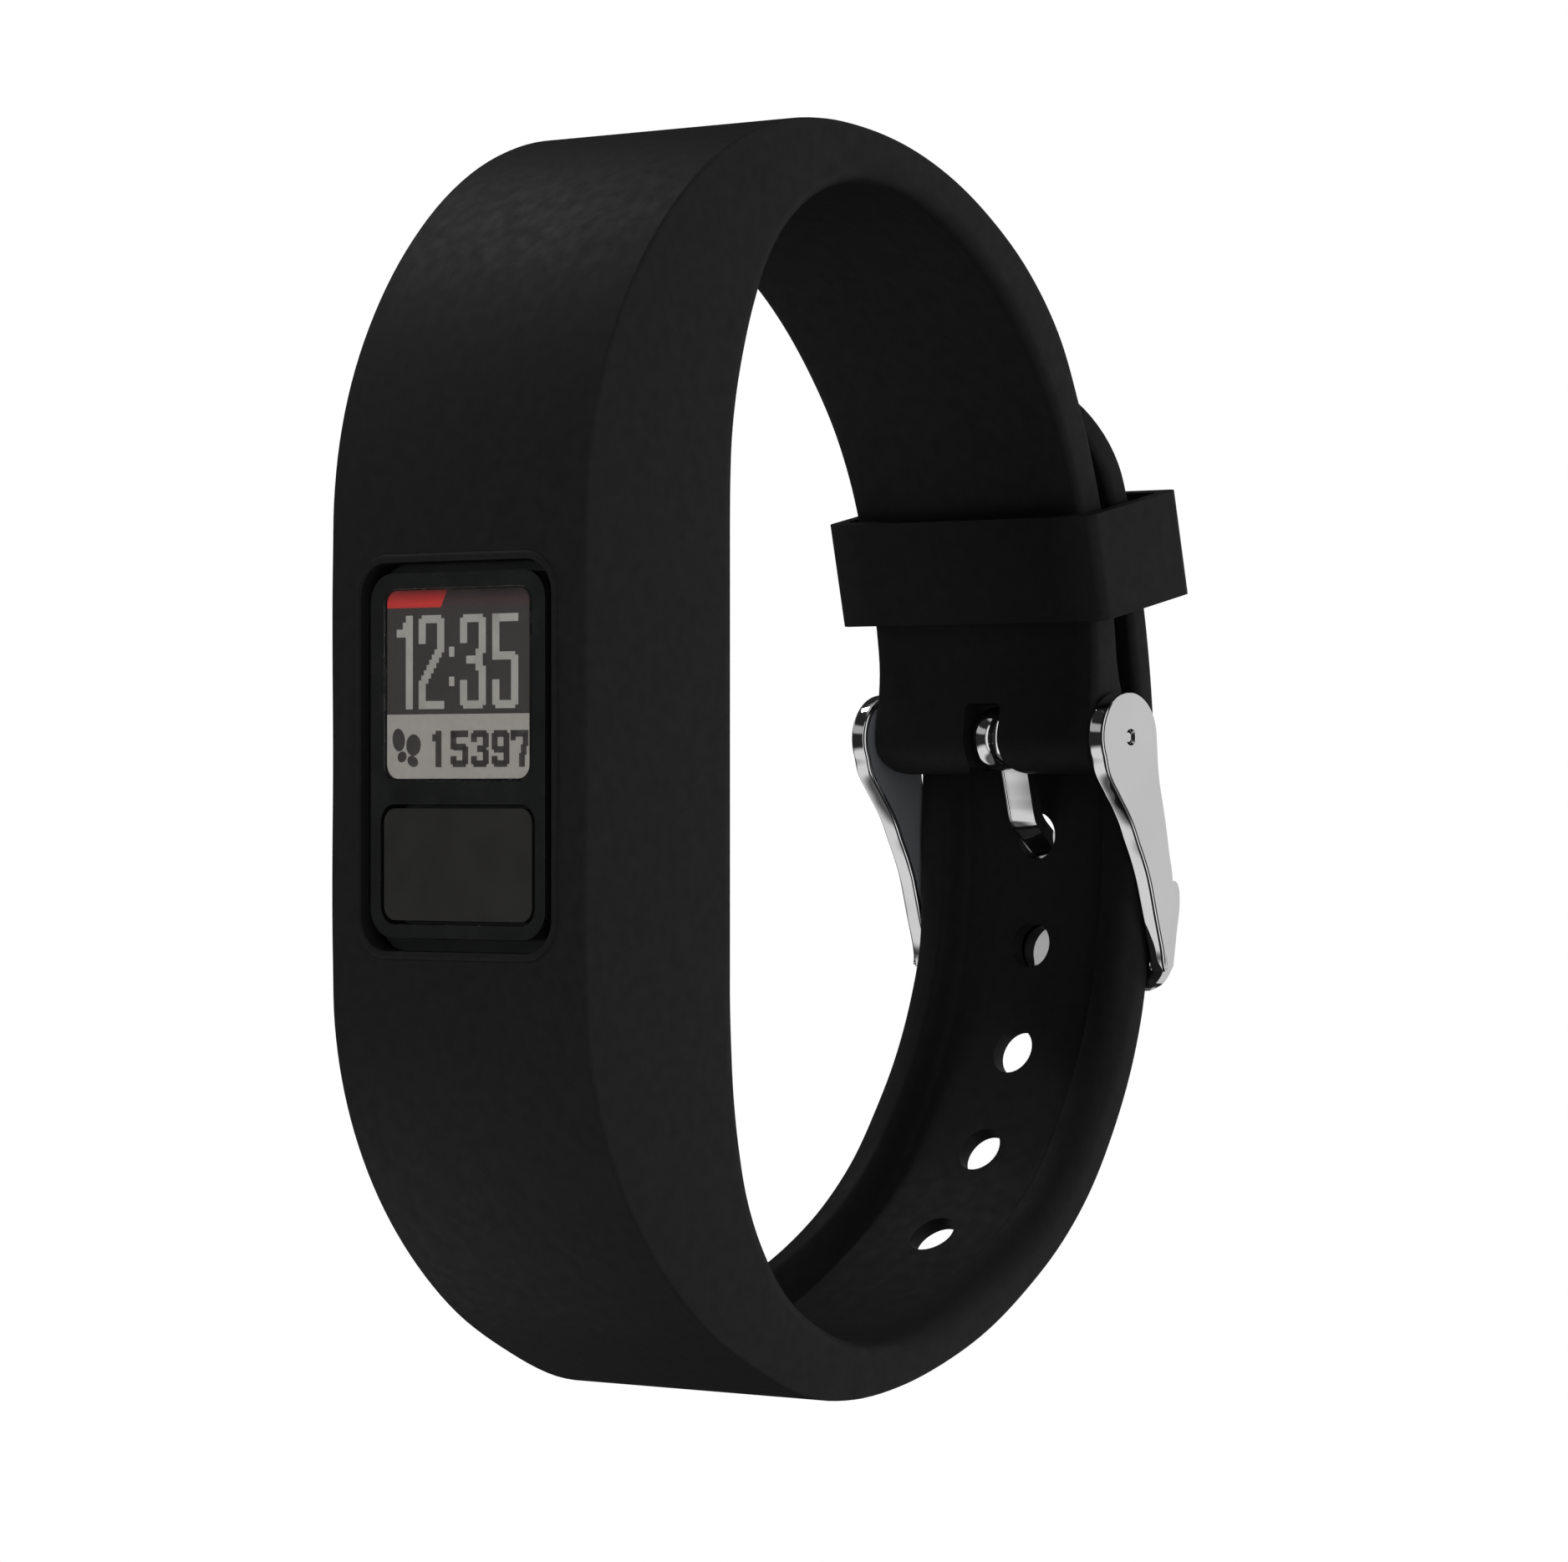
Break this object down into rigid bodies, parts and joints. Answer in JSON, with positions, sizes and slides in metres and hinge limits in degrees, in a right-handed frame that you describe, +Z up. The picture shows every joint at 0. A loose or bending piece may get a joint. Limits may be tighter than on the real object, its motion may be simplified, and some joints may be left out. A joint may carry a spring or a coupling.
{
  "type": "fitness tracker band",
  "caption": "Silicone wrist strap with a clip-in activity tracker, a push button under its display, a keeper loop and a polished pin buckle.",
  "frame": {"origin": "middle of the fastened loop, on the wrist's axis", "axes": "+X along the wrist across the strap, -Y out of the display, +Z up along the display's long side"},
  "size_m": [0.0206, 0.0542, 0.0727],
  "materials": {
    "silicone_black": "satin",
    "case_black": "satin",
    "button_black": "satin",
    "polished_steel": "polished",
    "spring_steel": "drawn",
    "lens_clear": "clear",
    "display_grey": "smooth",
    "backplate_white": "matte",
    "polyimide": "smooth",
    "board_green": "solder mask",
    "chip_black": "matte",
    "gold_plate": "plated",
    "cell_steel": "brushed",
    "seal_red": "matte",
    "tray_grey": "matte"
  },
  "bodies": {
    "strap": {"band": "silicone_black", "spring_bar_tube": "spring_steel", "spring_bar_spring": "spring_steel"},
    "keeper": {"keeper": "silicone_black"},
    "buckle": {"buckle_frame": "polished_steel"},
    "tongue": {"buckle_tongue": "polished_steel"},
    "tip_left": {"spring_bar_tip_left": "polished_steel"},
    "tip_right": {"spring_bar_tip_right": "polished_steel"},
    "module": {"front_case": "case_black", "display_lens": "lens_clear", "display_panel": "display_grey", "display_backplate": "backplate_white", "display_flex": "polyimide", "button_seal": "silicone_black", "tactile_switch": "cell_steel", "main_board": "board_green", "processor_chip": "chip_black", "radio_chip": "chip_black", "accelerometer_chip": "chip_black", "antenna_strip": "gold_plate", "battery_contact_negative": "gold_plate", "battery_contact_positive": "gold_plate", "battery_tray": "tray_grey", "coin_cell_front": "cell_steel", "coin_cell_rear": "cell_steel", "case_gasket": "seal_red", "back_cover": "case_black", "cover_screw_1": "polished_steel", "cover_screw_2": "polished_steel", "cover_screw_3": "polished_steel", "cover_screw_4": "polished_steel"},
    "button": {"button_cap": "button_black"}
  },
  "joints": [
    {"name": "module_eject", "type": "slide", "parent": "strap", "child": "module", "axis": [0, 1, 0], "range_m": [0, 0.016]},
    {"name": "button_press", "type": "slide", "parent": "module", "child": "button", "axis": [0, 1, 0], "range_m": [0, 0.0003], "stiffness_N_per_m": 1500},
    {"name": "keeper_slide", "type": "slide", "parent": "strap", "child": "keeper", "axis": [0, -0.2164, 0.9763], "range_m": [-0.0015, 0.0008]},
    {"name": "buckle_swing", "type": "hinge", "parent": "strap", "child": "buckle", "pos_m": [0, 0.0226, 0.0014], "axis": [1, 0, 0], "range_deg": [0, 2]},
    {"name": "tongue_swing", "type": "hinge", "parent": "strap", "child": "tongue", "pos_m": [0, 0.0226, 0.0014], "axis": [1, 0, 0], "range_deg": [0, 2]},
    {"name": "tip_left_push", "type": "slide", "parent": "strap", "child": "tip_left", "axis": [1, 0, 0], "range_m": [0, 0.0012], "stiffness_N_per_m": 400, "deforming": ["spring_bar_spring"]},
    {"name": "tip_right_push", "type": "slide", "parent": "strap", "child": "tip_right", "axis": [-1, 0, 0], "range_m": [0, 0.0012], "stiffness_N_per_m": 400}
  ],
  "couplings": [
    {"joint": "tongue_swing", "follows": "buckle_swing", "ratio": 1}
  ]
}
